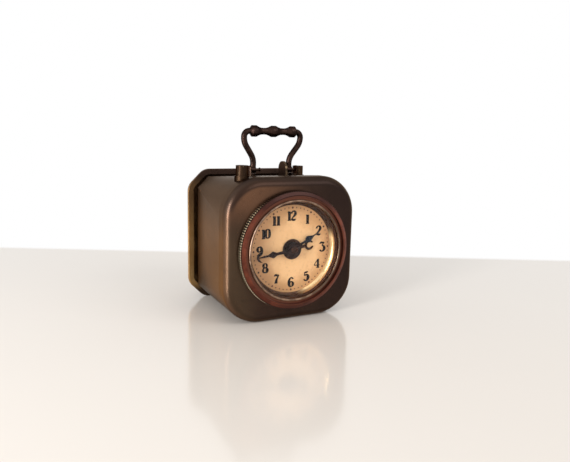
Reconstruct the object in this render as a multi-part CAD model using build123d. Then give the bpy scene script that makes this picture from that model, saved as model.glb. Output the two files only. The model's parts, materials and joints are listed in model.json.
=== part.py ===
from build123d import *
import math
import os

# Small square brass table alarm clock. Millimetres, +Z up, X to the right as seen from the
# front, Y towards the back. The model is built from the front face of the case (depth 0) and
# moved at the end so that the origin lies on the flat land that the case rests on.

# Case
case_size = 60.0
case_corner = 15.9
pillow_radius = 4.0
rest_land = 3.4
case_depth = 41.0
rear_size = case_size - 5.3
rear_cut = 4.9
case_wall = 0.8
dial_height = case_size / 2

# Back cover and bell
cover_recess = 0.6
cover_thickness = 0.8
cover_flange = 3.0
cover_clearance = 0.05
bell_gap = 5.3
bell_size = case_size + 0.4
bell_cut = 7.6
bell_bend = 6.5
bell_lip_width = 2.5
bell_lip_depth = 1.3
bell_lip_round = 0.3
bell_wall = 0.8
bell_depth = 9.3
bell_shoulder = 5.5
stud_radius = 2.6
stud_neck_radius = 1.25
nut_across = 6.0
nut_height = 1.9

# Bezel, glass and dial
bezel_radius = 24.7
bezel_height = 3.0
knurl_count = 150
knurl_depth = 0.4
bezel_face_inner = 22.4
bezel_chamfer = 0.6
groove_depth = 1.0
sight_outer = 21.6
bead_outer = 21.1
sight_inner = 20.2
sight_height = 2.9
collar_thickness = 0.6
collar_depth = 2.0
glass_thickness = 1.0
glass_front = -2.2
dial_depth = 2.0
dial_thickness = 0.8
dial_radius = 21.0
dial_hole = 2.0
reflector_inner = 18.5
reflector_outer = 19.9
reflector_lip = 1.7
reflector_hollow = 0.3

# Hands
hand_thickness = 0.3
hand_gap = 0.6
hand_lift = 0.25
minute_length = 17.4
minute_lozenge_at = 9.6
minute_lozenge_width = 1.45
hour_length = 8.1
hour_crescent = 2.1
hour_crescent_inner = 1.25
hour_opening = 1.6
alarm_length = 14.0
alarm_spade_at = 8.2
alarm_spade = 1.45
minute_boss = 3.1
hour_boss = 4.3
alarm_boss = 2.9
minute_angle = 262.2
hour_angle = 81.2
alarm_angle = 61.2
cap_radius = 1.5
cap_height = 0.7

# Top of the case
handle_depth = 21.3
pin_rise = 1.6
handle_pin_height = case_size + pin_rise
bracket_x = 9.9
bracket_radius = 1.75
cheek_thickness = 0.8
pin_radius = 0.5
pin_inner = 6.5
pin_head = 0.4
pin_head_radius = 0.85
wire_radius = 1.28
eye_radius = 1.4
eye_length = 2.2
foot_clearance = 0.15
grip_rise = 16.3
left_leg = [(-13.6, grip_rise), (-13.7, 11.6), (-9.2, 4.6), (-9.5, 0)]
right_leg = [(7.9, 0), (7.6, 4.6), (13.1, 11.6), (13.3, grip_rise)]
shoulder_bend = 7.0
hip_bend = 6.5
corner_bend = 2.4
grip_half = 10.9
bulb_radius = 2.42
waist_radius = 1.4
bulb_flat = 1.0
post_radius = 2.45
post_height = 4.4
washer_radius = 3.0
washer_thickness = 0.2
post_side_inset = 10.7
post_front = 10.0
post_back_inset = 7.0
tenon_radius = 0.9
tenon_length = 1.6
tenon_clearance = 0.05
paddle_x = 5.0
paddle_width = 6.9
paddle_thickness = 1.0
paddle_top = case_size + 5.2
paddle_pivot_height = case_size - 14.0
paddle_pivot_radius = 0.8
paddle_neck = 3.2
paddle_swing = 7.0
slot_clearance = 0.35

# Movement frame
front_plate_depth = 8.0
plate_thickness = 1.2
plate_gap = 18.8
plate_size = 49.0
plate_corner = 3.5
pillar_offset = 22.0
pillar_radius = 1.5
pillar_neck = 0.9
nut_radius = 1.7
nut_thickness = 1.2
foot_offset = 19.6
foot_radius = 1.6
seat_clearance = 0.05
seat_gap = 0.02
screw_head_radius = 1.6
screw_head_height = 0.7
screw_shank_radius = 0.8
running_clearance = 0.04
pivot_radius = 0.4
arbor_radius = 0.7

# Gear teeth: height above and below the pitch circle, and the root width as a share of the pitch
addendum = 0.9
dedendum = 1.2
root_share = 0.72

# Going train: teeth and modules
main_teeth = 48
main_pinion = 8
main_module = 0.55
centre_teeth = 48
centre_pinion = 6
centre_module = 0.3
third_teeth = 45
third_pinion = 6
third_module = 0.28
fourth_teeth = 48
fourth_pinion = 6
fourth_module = 0.25
escape_teeth = 15
escape_radius = 4.5
escape_root = 3.5
pallet_pin_radius = 0.22
pallet_clearance = 0.32
pallet_spread = 42.0
pallet_bar = 0.9
fork_width = 2.0
fork_slot = 0.8
fork_clearance = 0.15
wheel_thickness = 0.7
main_thickness = 1.0

# Motion work and alarm setting
cannon_teeth = 10
minute_teeth = 30
minute_pinion = 8
hour_teeth = 32
motion_module = 0.36
set_teeth = 10
alarm_teeth = 32
alarm_set_teeth = 28
alarm_module = 0.3
pipe_wall = 0.35

# Alarm striking work
strike_teeth = 48
strike_pinion = 8
strike_module = 0.5
strike_wheel_teeth = 12
strike_wheel_radius = 3.4
strike_wheel_root = 2.6
hammer_arm = 10.0
hammer_arm_width = 1.3
hammer_pallet_gap = 0.45
hammer_pallet_spread = 48.0
hammer_head_radius = 1.9
hammer_head_length = 4.0
hammer_swing = 3.0
strike_gap = 0.3

# Mainsprings, ratchets and keys
spring_inner = 2.3
spring_outer = 7.5
spring_turns = 6
spring_thickness = 0.3
spring_width = 7.0
ratchet_teeth = 12
ratchet_radius = 3.6
ratchet_root = 2.9
winding_radius = 1.5
key_wing = 6.5
key_thickness = 1.4
key_boss_radius = 2.3
key_length = 7.0
knob_radius = 4.0
knob_height = 3.0
knob_teeth = 24
outside_gap = 1.3
hole_clearance = 0.9

# Balance
balance_radius = 6.2
balance_rim = 0.7
balance_thickness = 0.9
hairspring_outer = 4.2
hairspring_inner = 1.0
hairspring_turns = 5
hairspring_thickness = 0.12
hairspring_width = 0.5
spring_stud_radius = 0.45
roller_radius = 1.9
roller_pin_radius = 0.25
roller_pin_reach = 1.5
cock_width = 5.0
cock_thickness = 1.0
cock_rise = 1.6

# Directions of the arbors from each other, in degrees from +X towards +Z
main_direction = 217.0
third_direction = 100.0
fourth_direction = 30.0
escape_direction = 120.0
lever_direction = 10.0
lever_distance = 6.6
balance_direction = -45.0
balance_distance = 7.6
setting_direction = 142.8
alarm_set_direction = 30.0
strike_direction = 323.0
strike_wheel_direction = 215.0
hammer_direction = 249.0
hammer_distance = 4.8

# Depths worked out from the sizes above
front_inner = front_plate_depth + plate_thickness
back_inner = front_inner + plate_gap
back_outer = back_inner + plate_thickness
cover_front = case_depth - cover_recess - cover_thickness
cover_back = case_depth - cover_recess
bell_front = case_depth + bell_gap
bell_back = bell_front + bell_depth
knob_front = bell_back + outside_gap


def toward(start, distance, direction):
    angle = math.radians(direction)
    return (start[0] + distance * math.cos(angle), start[1] + distance * math.sin(angle))


def spacing(first, second, module):
    return (first + second) * module / 2


# Arbor places, X and height above the dial centre
centre_at = (0.0, 0.0)
main_at = toward(centre_at, spacing(main_teeth, main_pinion, main_module), main_direction)
third_at = toward(centre_at, spacing(centre_teeth, centre_pinion, centre_module), third_direction)
fourth_at = toward(third_at, spacing(third_teeth, third_pinion, third_module), fourth_direction)
escape_at = toward(fourth_at, spacing(fourth_teeth, fourth_pinion, fourth_module), escape_direction)
lever_at = toward(escape_at, lever_distance, lever_direction)
balance_at = toward(lever_at, balance_distance, balance_direction)
minute_at = toward(centre_at, spacing(cannon_teeth, minute_teeth, motion_module), setting_direction)
setting_at = toward(minute_at, spacing(minute_teeth, set_teeth, motion_module), setting_direction)
alarm_set_at = toward(centre_at, spacing(alarm_teeth, alarm_set_teeth, alarm_module),
                      alarm_set_direction)
strike_at = toward(centre_at, spacing(main_teeth, main_pinion, main_module), strike_direction)
strike_wheel_at = toward(strike_at, spacing(strike_teeth, strike_pinion, strike_module),
                         strike_wheel_direction)
hammer_at = toward(strike_wheel_at, hammer_distance, hammer_direction)

# Levels of the wheels, as depths of their front faces
main_level = front_inner + 1.0
main_ratchet_level = main_level + main_thickness + 0.1
main_spring_level = main_ratchet_level + main_thickness + 0.9
centre_level = back_inner - 5.4
third_level = centre_level - 3.0
fourth_level = third_level - 3.0
escape_level = fourth_level - 2.8
lever_level = escape_level
balance_level = fourth_level + wheel_thickness + 0.4
hairspring_level = back_inner - 1.6
strike_level = back_inner - 2.0
strike_ratchet_level = strike_level - main_thickness - 0.1
strike_spring_level = strike_ratchet_level - 1.1 - spring_width
strike_wheel_level = back_inner - 6.6
cannon_level = front_plate_depth - 1.6
alarm_level = cannon_level - 0.9
hour_level = alarm_level - 1.0


def slab(sketch, front, back):
    # A flat piece between two depths, drawn as seen from the front
    return Rot(90, 0, 0) * Pos(0, 0, -back) * extrude(sketch, amount=back - front)


def at(place):
    return Pos(place[0], dial_height + place[1])


def disc(place, radius, front, back):
    return slab(at(place) * Circle(radius), front, back)


def turned(points):
    # A body of revolution about the dial axis, from (radius, depth) points
    return turned_face(Polyline([(radius, -depth) for radius, depth in points], close=True))


def turned_face(outline):
    profile = make_face(Plane.XZ * outline)
    return Pos(0, 0, dial_height) * Rot(90, 0, 0) * revolve(profile, Axis.Z)


def rounded_square(size, corner):
    return Pos(0, dial_height) * RectangleRounded(size, size, corner)


def cut_square(size, cut):
    # A square with straight 45 degree corners
    return chamfer(Rectangle(size, size).vertices(), cut)


def polar(radius, degrees):
    angle = math.radians(degrees)
    return (radius * math.cos(angle), radius * math.sin(angle))


def gear(teeth, module, phase=0.0):
    pitch_radius = teeth * module / 2
    tip_radius = pitch_radius + addendum * module
    root_radius = pitch_radius - dedendum * module
    step = 360 / teeth
    points = []
    for tooth in range(teeth):
        middle = phase + tooth * step
        for radius, share in ((root_radius, -root_share), (tip_radius, 0),
                              (root_radius, root_share)):
            points.append(polar(radius, middle + share * step / 2))
    return Polygon(*points, align=None)


def saw_wheel(teeth, tip_radius, root_radius, phase=0.0):
    step = 360 / teeth
    points = []
    for tooth in range(teeth):
        points.append(polar(root_radius, phase + tooth * step))
        points.append(polar(tip_radius, phase + tooth * step))
    return Polygon(*points, align=None)


def crossed(wheel, rim_radius, hub_radius, arms=4):
    # Cut windows in a wheel, leaving its arms
    ring = Circle(rim_radius) - Circle(hub_radius)
    arm_width = hub_radius * 0.7
    for arm in range(arms // 2):
        ring -= Rot(0, 0, arm * 360 / arms) * Rectangle(3 * rim_radius, arm_width)
    return wheel - ring


def mesh_phase(direction, teeth):
    # Turns a gear so that a gap meets the tooth of the gear that drives it
    return direction + 180 + 180 / teeth


def spiral(inner, outer, turns, thickness, steps=14):
    count = turns * steps
    outside = []
    inside = []
    for step in range(count + 1):
        radius = inner + (outer - inner) * step / count
        angle = 360 * step / steps
        outside.append(polar(radius + thickness / 2, angle))
        inside.append(polar(radius - thickness / 2, angle))
    return Polygon(*(outside + inside[::-1]), align=None)


def case_shell(inset):
    size = case_size - 2 * inset
    corner = case_corner - inset
    land_end = pillow_radius + rest_land
    front = slab(rounded_square(size, corner), inset, land_end)
    front_edges = front.faces().sort_by(Axis.Y)[0].edges()
    front = fillet(front_edges, pillow_radius - inset)
    land_sketch = Pos(0, 0, -land_end) * rounded_square(size, corner)
    rear_sketch = Pos(0, dial_height, -case_depth) * cut_square(rear_size - 2 * inset,
                                                                inner_cut(rear_cut, inset))
    rear = Rot(90, 0, 0) * loft([land_sketch, rear_sketch], ruled=True)
    return front + rear


def inner_cut(cut, inset):
    # The corner cut of a square drawn the same distance inside another
    return cut - inset * (2 - math.sqrt(2))


def top_height(depth):
    # Height of the flat of the case top at a depth
    land_end = pillow_radius + rest_land
    fall = (case_size - rear_size) / 2 * max(depth - land_end, 0) / (case_depth - land_end)
    return case_size - fall


def make_case_body(outer):
    body = outer - case_shell(case_wall)
    body -= slab(Pos(0, dial_height) * Circle(bezel_face_inner), -1, front_plate_depth / 2)
    slot_length = paddle_width + 2 * slot_reach()
    slot_size = (paddle_thickness + 2 * slot_clearance, slot_length, 4 * case_wall)
    body -= Pos(paddle_x, handle_depth, top_height(handle_depth)) * Box(*slot_size)
    for x, depth in tenon_spots():
        body -= Pos(x, depth, top_height(depth)) * Cylinder(tenon_radius + tenon_clearance,
                                                            8 * case_wall)
    return body


def slot_reach():
    rise = top_height(handle_depth) - paddle_pivot_height
    return rise * math.sin(math.radians(paddle_swing)) + slot_clearance


def tenon_spots():
    brackets = [(side * bracket_x, handle_depth) for side in (-1, 1)]
    return brackets + list(post_spots().values())


def post_spots():
    # X and depth of the two posts, the left one near the front and the right one near the back
    x = case_size / 2 - post_side_inset
    return {"post_left": (-x, post_front), "post_right": (x, case_depth - post_back_inset)}


def make_back_cover():
    shrink = case_wall + cover_clearance
    band = slab(rounded_square(case_size, case_corner), cover_back - cover_flange, cover_back)
    lid = case_shell(shrink) & band
    rim = shrink + cover_thickness
    room = Pos(0, dial_height) * cut_square(rear_size - 2 * rim, inner_cut(rear_cut, rim))
    lid -= slab(room, cover_back - cover_flange - 1, cover_front)
    for place in (main_at, strike_at):
        lid -= disc(place, winding_radius + hole_clearance, cover_front - 1, cover_back + 1)
    for place in (setting_at, alarm_set_at):
        lid -= disc(place, arbor_radius + hole_clearance, cover_front - 1, cover_back + 1)
    lid -= disc(hammer_at, arbor_radius + hole_clearance, cover_front - 1, cover_back + 1)
    lid -= disc(centre_at, stud_neck_radius, cover_front - 1, cover_back + 1)
    return lid


def bell_outline(inset):
    # The bell's foot rests on the same floor as the case
    square = cut_square(bell_size - 2 * inset, inner_cut(bell_cut, inset))
    return Pos(0, bell_size / 2) * fillet(square.vertices(), bell_bend - inset)


def make_bell():
    dish_inset = bell_lip_width - bell_wall
    lip = slab(bell_outline(0), bell_front, bell_front + bell_lip_depth)
    lip = fillet(lip.faces().sort_by(Axis.Y)[0].edges(), bell_lip_round)
    lip = fillet(lip.faces().sort_by(Axis.Y)[-1].edges(), bell_lip_round)
    dish = slab(bell_outline(dish_inset), bell_front + bell_lip_depth / 2, bell_back)
    dish = fillet(dish.faces().sort_by(Axis.Y)[-1].edges(), bell_shoulder)
    hollow = slab(bell_outline(bell_lip_width), bell_front - 1, bell_back - bell_wall)
    hollow = fillet(hollow.faces().sort_by(Axis.Y)[-1].edges(), bell_shoulder - bell_wall)
    bell = lip + dish - hollow
    for place in (main_at, strike_at):
        bell -= disc(place, winding_radius + hole_clearance, bell_back - 2, bell_back + 1)
    for place in (setting_at, alarm_set_at):
        bell -= disc(place, arbor_radius + hole_clearance, bell_back - 2, bell_back + 1)
    bell -= disc(centre_at, stud_neck_radius, bell_back - 2, bell_back + 1)
    return bell


def make_bell_stud():
    shaft = disc(centre_at, stud_radius, cover_back, bell_back - bell_wall)
    shaft += disc(centre_at, stud_neck_radius, cover_front - 0.6, cover_back)
    shaft += disc(centre_at, stud_neck_radius, bell_back - bell_wall, bell_back + nut_height + 0.4)
    shaft += disc(centre_at, stud_radius, cover_front - 1.2, cover_front)
    return shaft


def make_bell_nut():
    sketch = at(centre_at) * (RegularPolygon(nut_across / 2, 6, major_radius=False)
                              - Circle(stud_neck_radius))
    return slab(sketch, bell_back, bell_back + nut_height)


def make_bezel_ring():
    knurl_step = 360 / knurl_count
    points = []
    for tooth in range(knurl_count):
        points.append(polar(bezel_radius - knurl_depth, tooth * knurl_step))
        points.append(polar(bezel_radius, (tooth + 0.5) * knurl_step))
    knurled = slab(Pos(0, dial_height) * Polygon(*points, align=None),
                   bezel_chamfer - bezel_height, 0)
    face = turned([(0, -bezel_height), (bezel_face_inner + bezel_chamfer, -bezel_height),
                   (bezel_radius - knurl_depth, bezel_chamfer - bezel_height), (0, 0)])
    ring = knurled + face
    ring += disc(centre_at, bezel_face_inner - 0.05, -groove_depth, collar_depth)
    ring -= disc(centre_at, bezel_face_inner, -bezel_height - 1, -bezel_height + groove_depth)
    ring -= disc(centre_at, sight_outer, -bezel_height - 1, collar_depth + 1)
    return ring


def make_sight_ring():
    # A bright half-round bead with a thin tube behind it that holds the glass
    bead_middle = (bead_outer + sight_inner) / 2
    bead_radius = (bead_outer - sight_inner) / 2
    crown = sight_height - bead_radius
    step_depth = groove_depth - bezel_height
    points = [(sight_outer, collar_depth), (sight_outer, step_depth), (bead_outer, step_depth),
              (bead_outer, -crown)]
    for step in range(1, 6):
        x, y = polar(bead_radius, 180 * step / 6)
        points.append((bead_middle + x, -crown - y))
    points += [(sight_inner, -crown), (sight_inner, glass_front),
               (sight_outer - collar_thickness, glass_front),
               (sight_outer - collar_thickness, collar_depth)]
    return turned(points)


def make_glass():
    radius = sight_outer - collar_thickness
    return disc(centre_at, radius, glass_front, glass_front + glass_thickness)


def make_dial_ring():
    # The reflector between glass and dial: a hollow curved lip, then a plain wall to the glass
    outer = sight_outer - collar_thickness
    top = glass_front + glass_thickness
    lip_end = (reflector_inner, -dial_depth)
    lip_top = (reflector_outer, reflector_lip - dial_depth)
    middle_x = (reflector_inner + reflector_outer) / 2
    middle_z = reflector_lip / 2 - dial_depth
    deepest = (middle_x + reflector_hollow * (reflector_outer - middle_x),
               middle_z + reflector_hollow * (-dial_depth - middle_z))
    plain = Polyline(lip_top, (sight_inner, -top), (outer, -top), (outer, -dial_depth), lip_end)
    return turned_face(plain + ThreePointArc(lip_end, deepest, lip_top))


def make_dial_plate():
    plate = disc(centre_at, dial_radius, dial_depth, dial_depth + dial_thickness)
    plate -= disc(centre_at, dial_hole, dial_depth - 1, dial_depth + 2)
    for side in (-1, 1):
        place = (side * dial_radius * 0.8, 0)
        plate += disc(place, foot_radius / 2, dial_depth + dial_thickness, front_plate_depth)
    return plate


def hand_blank(sketch, boss, bore, angle, front):
    blank = (sketch + Circle(boss)) - Circle(bore)
    return slab(Pos(0, dial_height) * Rot(0, 0, -angle) * blank, front, front + hand_thickness)


def lozenge(middle, half_length, half_width):
    return Polygon((0, middle - half_length), (half_width, middle), (0, middle + half_length),
                   (-half_width, middle), align=None)


def make_minute_hand():
    shaft = Polygon((-0.75, 2.0), (0.75, 2.0), (0.35, minute_length - 3.0),
                    (-0.35, minute_length - 3.0), align=None)
    tip = Polygon((-0.45, minute_length - 4.0), (0.45, minute_length - 4.0), (0, minute_length),
                  align=None)
    crescent = Pos(0, minute_length - 2.6) * Circle(2.1)
    crescent -= Pos(0, minute_length - 3.9) * Circle(2.35)
    sketch = shaft + tip + crescent
    sketch += lozenge(minute_lozenge_at, 2 * minute_lozenge_width, minute_lozenge_width)
    return hand_blank(sketch, minute_boss, cannon_bore(), minute_angle, minute_front())


def make_hour_hand():
    # A plain shaft with a crescent at its end that opens outwards
    shaft_end = hour_length - (hour_crescent + hour_crescent_inner) / 2
    shaft = Polygon((-0.8, hour_boss / 2), (0.8, hour_boss / 2), (0.5, shaft_end),
                    (-0.5, shaft_end), align=None)
    crescent = Circle(hour_crescent) - Pos(0, 0.15) * Circle(hour_crescent_inner)
    crescent -= Pos(0, hour_crescent) * Rectangle(hour_opening, 2 * hour_crescent)
    sketch = shaft + Pos(0, hour_length) * crescent
    return hand_blank(sketch, hour_boss, hour_bore(), hour_angle, hour_front())


def make_alarm_hand():
    shaft = Polygon((-0.6, alarm_boss / 2), (0.6, alarm_boss / 2), (0.14, alarm_length),
                    (-0.14, alarm_length), align=None)
    spade = Pos(0, alarm_spade_at) * Circle(alarm_spade)
    spade += lozenge(alarm_spade_at + alarm_spade / 2, 1.7 * alarm_spade, 0.8 * alarm_spade)
    return hand_blank(shaft + spade, alarm_boss, alarm_bore(), alarm_angle, alarm_front())


def hour_front():
    return dial_depth - hand_lift - hand_thickness


def alarm_front():
    return hour_front() - hand_gap - hand_thickness


def minute_front():
    return alarm_front() - hand_gap - hand_thickness


def cannon_outer():
    return centre_bore() + pipe_wall


def cannon_bore():
    return cannon_outer()


def alarm_bore():
    return cannon_outer() + running_clearance + pipe_wall


def hour_bore():
    return alarm_bore() + running_clearance + pipe_wall


def make_hand_cap():
    cap = disc(centre_at, cap_radius, minute_front() - cap_height, minute_front())
    edges = cap.faces().sort_by(Axis.Y)[0].edges()
    return fillet(edges, cap_height * 0.6)


def make_cannon_pinion():
    bore = centre_bore()
    teeth_part = slab(at(centre_at) * (gear(cannon_teeth, motion_module, setting_direction)
                                       - Circle(bore)), cannon_level, front_plate_depth - 0.2)
    pipe = slab(at(centre_at) * (Circle(cannon_outer()) - Circle(bore)),
                minute_front(), cannon_level)
    return teeth_part + pipe


def centre_bore():
    return pivot_radius + running_clearance


def make_minute_wheel():
    level = cannon_level
    direction = setting_direction
    bore = pivot_radius + running_clearance
    wheel = gear(minute_teeth, motion_module, mesh_phase(direction, minute_teeth))
    part = slab(at(minute_at) * (wheel - Circle(bore)), level, level + wheel_thickness)
    pinion = gear(minute_pinion, motion_module, direction + 180)
    part += slab(at(minute_at) * (pinion - Circle(bore)), hour_level - 0.1, level)
    return part


def make_hour_wheel():
    bore = alarm_bore() + running_clearance
    wheel = gear(hour_teeth, motion_module, setting_direction + 180 / hour_teeth)
    part = slab(at(centre_at) * (wheel - Circle(bore)), hour_level, hour_level + wheel_thickness)
    pipe = Circle(bore + pipe_wall) - Circle(bore)
    part += slab(at(centre_at) * pipe, hour_front(), hour_level)
    return part


def make_alarm_wheel():
    bore = cannon_outer() + running_clearance
    wheel = gear(alarm_teeth, alarm_module, alarm_set_direction)
    part = slab(at(centre_at) * (wheel - Circle(bore)), alarm_level, alarm_level + wheel_thickness)
    pipe = Circle(bore + pipe_wall) - Circle(bore)
    part += slab(at(centre_at) * pipe, alarm_front(), alarm_level)
    return part


def corner_places(offset):
    return [(x * offset, z * offset) for x in (-1, 1) for z in (-1, 1)]


def make_front_plate():
    sketch = rounded_square(plate_size, plate_corner)
    for place in (third_at, fourth_at, escape_at, lever_at, balance_at, strike_wheel_at,
                  hammer_at):
        sketch -= at(place) * Circle(pivot_radius + running_clearance)
    sketch -= at(centre_at) * Circle(arbor_radius + running_clearance)
    for place in (setting_at, alarm_set_at):
        sketch -= at(place) * Circle(arbor_radius + running_clearance)
    for place in (main_at, strike_at):
        sketch -= at(place) * Circle(pivot_radius * 2 + running_clearance)
    for place in corner_places(pillar_offset):
        sketch -= at(place) * Circle(pillar_neck + seat_clearance)
    for place in corner_places(foot_offset):
        sketch -= at(place) * Circle(screw_shank_radius + seat_clearance)
    plate = slab(sketch, front_plate_depth, front_inner)
    plate += disc(minute_at, pivot_radius, hour_level - 0.4, front_plate_depth)
    return plate


def make_back_plate():
    sketch = rounded_square(plate_size, plate_corner)
    for place in (centre_at, third_at, fourth_at, escape_at, lever_at, strike_wheel_at):
        sketch -= at(place) * Circle(pivot_radius + running_clearance)
    sketch -= at(hammer_at) * Circle(arbor_radius + running_clearance)
    for place in (setting_at, alarm_set_at):
        sketch -= at(place) * Circle(arbor_radius + running_clearance)
    for place in (main_at, strike_at):
        sketch -= at(place) * Circle(winding_radius + running_clearance)
    sketch -= at(balance_at) * Circle(balance_window())
    for place in corner_places(pillar_offset):
        sketch -= at(place) * Circle(pillar_neck + seat_clearance)
    plate = slab(sketch, back_inner, back_outer)
    ear_x = paddle_x + paddle_thickness / 2 + 0.3
    ear = Box(1.0, back_inner - handle_depth + 2, 2.6 * paddle_pivot_radius)
    ear_middle = (back_inner + handle_depth - 2) / 2
    plate += Pos(ear_x + 0.5, ear_middle, paddle_pivot_height) * ear
    pin = Rot(0, 90, 0) * Cylinder(paddle_pivot_radius - running_clearance,
                                   paddle_thickness + 1.2)
    plate += Pos(paddle_x, handle_depth, paddle_pivot_height) * pin
    return plate


def make_plate_pillars():
    group = []
    for place in corner_places(pillar_offset):
        pillar = disc(place, pillar_radius, front_inner + seat_gap, back_inner - seat_gap)
        pillar += disc(place, pillar_neck, front_plate_depth, back_outer + nut_thickness)
        group.append(pillar)
    return Compound(children=group)


def make_pillar_nuts():
    group = []
    for place in corner_places(pillar_offset):
        sketch = at(place) * (RegularPolygon(nut_radius, 6, major_radius=False)
                              - Circle(pillar_neck))
        group.append(slab(sketch, back_outer, back_outer + nut_thickness))
    return Compound(children=group)


def make_movement_feet():
    group = []
    for place in corner_places(foot_offset):
        foot = disc(place, foot_radius, case_wall, front_plate_depth - seat_gap)
        foot -= disc(place, screw_shank_radius, front_plate_depth / 2, front_plate_depth + 1)
        group.append(foot)
    return Compound(children=group)


def make_movement_screws():
    group = []
    for place in corner_places(foot_offset):
        screw = disc(place, screw_head_radius, front_inner, front_inner + screw_head_height)
        screw += disc(place, screw_shank_radius, front_plate_depth / 2, front_inner)
        slot = slab(at(place) * Rectangle(2 * screw_head_radius, screw_head_radius / 4),
                    front_inner + screw_head_height / 2, front_inner + 1)
        group.append(screw - slot)
    return Compound(children=group)


def arbor(place, radius=arbor_radius, front=None, back=None, tip=pivot_radius):
    # A plain arbor between the plates with its thinner pivots in them
    start = front_inner + 0.1
    end = back_inner - 0.1
    part = disc(place, radius, start, end)
    part += disc(place, tip, front_plate_depth if front is None else front, start)
    part += disc(place, tip, end, back_outer if back is None else back)
    return part


def geared_arbor(place, wheel, wheel_level, pinion, pinion_front, pinion_back, radius=arbor_radius):
    part = arbor(place, radius)
    part += slab(at(place) * wheel, wheel_level, wheel_level + wheel_thickness)
    part += slab(at(place) * pinion, pinion_front, pinion_back)
    return part


def make_centre_wheel():
    wheel = crossed(gear(centre_teeth, centre_module, third_direction), 5.8, 2.2)
    pinion = gear(main_pinion, main_module, mesh_phase(main_direction, main_pinion) + 180)
    part = geared_arbor(centre_at, wheel, centre_level, pinion, main_level - 0.4,
                        main_level + main_thickness + 0.4)
    part += disc(centre_at, arbor_radius, front_plate_depth, front_inner + 0.2)
    part += disc(centre_at, pivot_radius, minute_front() + 0.1, front_plate_depth)
    return part


def make_third_wheel():
    wheel = crossed(gear(third_teeth, third_module, fourth_direction), 5.1, 1.8)
    pinion = gear(centre_pinion, centre_module, mesh_phase(third_direction, centre_pinion))
    return geared_arbor(third_at, wheel, third_level, pinion, centre_level - 0.4,
                        centre_level + wheel_thickness + 0.4, radius=0.5)


def make_fourth_wheel():
    wheel = crossed(gear(fourth_teeth, fourth_module, escape_direction), 4.9, 1.6)
    pinion = gear(third_pinion, third_module, mesh_phase(fourth_direction, third_pinion))
    return geared_arbor(fourth_at, wheel, fourth_level, pinion, third_level - 0.4,
                        third_level + wheel_thickness + 0.4, radius=0.45)


def make_escape_wheel():
    wheel = crossed(saw_wheel(escape_teeth, escape_radius, escape_root, lever_direction + 12),
                    2.9, 1.1)
    pinion = gear(fourth_pinion, fourth_module, mesh_phase(escape_direction, fourth_pinion))
    return geared_arbor(escape_at, wheel, escape_level, pinion, fourth_level - 0.4,
                        fourth_level + wheel_thickness + 0.4, radius=0.42)


def make_pallet_lever():
    # Anchor with two pallet pins over the escape wheel, and a forked tail to the balance
    pin_reach = escape_radius + pallet_pin_radius + pallet_clearance
    part = arbor(lever_at, 0.45)
    anchor = Polygon((-0.7, -0.7), (0.7, -0.7), (0.7, 0.7), (-0.7, 0.7), align=None)
    for side in (-1, 1):
        pin_place = toward(escape_at, pin_reach, lever_direction + side * pallet_spread)
        end = (pin_place[0] - lever_at[0], pin_place[1] - lever_at[1])
        span = math.hypot(*end)
        turn = math.degrees(math.atan2(end[1], end[0]))
        bar = Rot(0, 0, turn) * Pos(span / 2, 0) * Rectangle(span, pallet_bar)
        anchor += bar + Pos(*end) * Circle(pallet_bar / 2)
        part += disc(pin_place, pallet_pin_radius, lever_level - 0.1,
                     lever_level + 2 * wheel_thickness + 0.3)
    fork_end = balance_distance - roller_pin_reach - roller_pin_radius - fork_clearance
    tail_length = fork_end - fork_slot
    tail = Pos(tail_length / 2, 0) * Rectangle(tail_length, pallet_bar)
    tail = Rot(0, 0, balance_direction) * tail
    fork = Pos(fork_end - fork_slot, 0) * Rectangle(2 * fork_slot, fork_width)
    fork -= Pos(fork_end, 0) * Rectangle(2 * fork_slot, fork_slot)
    anchor += tail + Rot(0, 0, balance_direction) * fork
    part += slab(at(lever_at) * anchor, fork_level(), fork_level() + wheel_thickness)
    return part


def make_balance_wheel():
    rim = Circle(balance_radius) - Circle(balance_radius - balance_rim)
    arms = Rot(0, 0, balance_direction + 90) * Rectangle(2 * balance_radius - balance_rim, 0.9)
    wheel = rim + arms + Circle(1.2)
    level = balance_level
    part = slab(at(balance_at) * wheel, level, level + balance_thickness)
    part += arbor(balance_at, 0.5, back=back_outer + cock_rise + 0.5)
    pin_place = toward(balance_at, roller_pin_reach, balance_direction + 180)
    part += disc(pin_place, roller_pin_radius, fork_level(), level)
    part += disc(balance_at, roller_radius, level - 0.5, level)
    collet = hairspring_inner - hairspring_thickness / 2
    part += disc(balance_at, collet, hairspring_level, hairspring_level + hairspring_width)
    return part


def fork_level():
    return lever_level + wheel_thickness + 0.1


def balance_window():
    # The opening in the back plate that the hairspring's stud reaches through
    return hairspring_outer + hairspring_thickness + 2 * spring_stud_radius + 0.3


def make_hairspring():
    sketch = at(balance_at) * spiral(hairspring_inner, hairspring_outer, hairspring_turns,
                                     hairspring_thickness, steps=12)
    return slab(sketch, hairspring_level, hairspring_level + hairspring_width)


def make_balance_cock():
    foot_reach = balance_window() + 1.8
    bar = Pos(0, foot_reach / 2) * RectangleRounded(cock_width, foot_reach + cock_width,
                                                    cock_width / 2.2)
    stud_reach = hairspring_outer + hairspring_thickness / 2 + spring_stud_radius + 0.1
    bar += Pos(stud_reach / 2, 0) * RectangleRounded(stud_reach + 2.2, 2.0, 0.9)
    pivot = Circle(pivot_radius + running_clearance)
    cock = slab(at(balance_at) * (bar - pivot), back_outer + cock_rise,
                back_outer + cock_rise + cock_thickness)
    foot = toward(balance_at, foot_reach, 90)
    cock += slab(at(foot) * RectangleRounded(cock_width - 0.4, 3.0, 0.8), back_outer,
                 back_outer + cock_rise)
    cock += disc(toward(balance_at, stud_reach, 0), spring_stud_radius, hairspring_level,
                 back_outer + cock_rise)
    return cock


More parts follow.
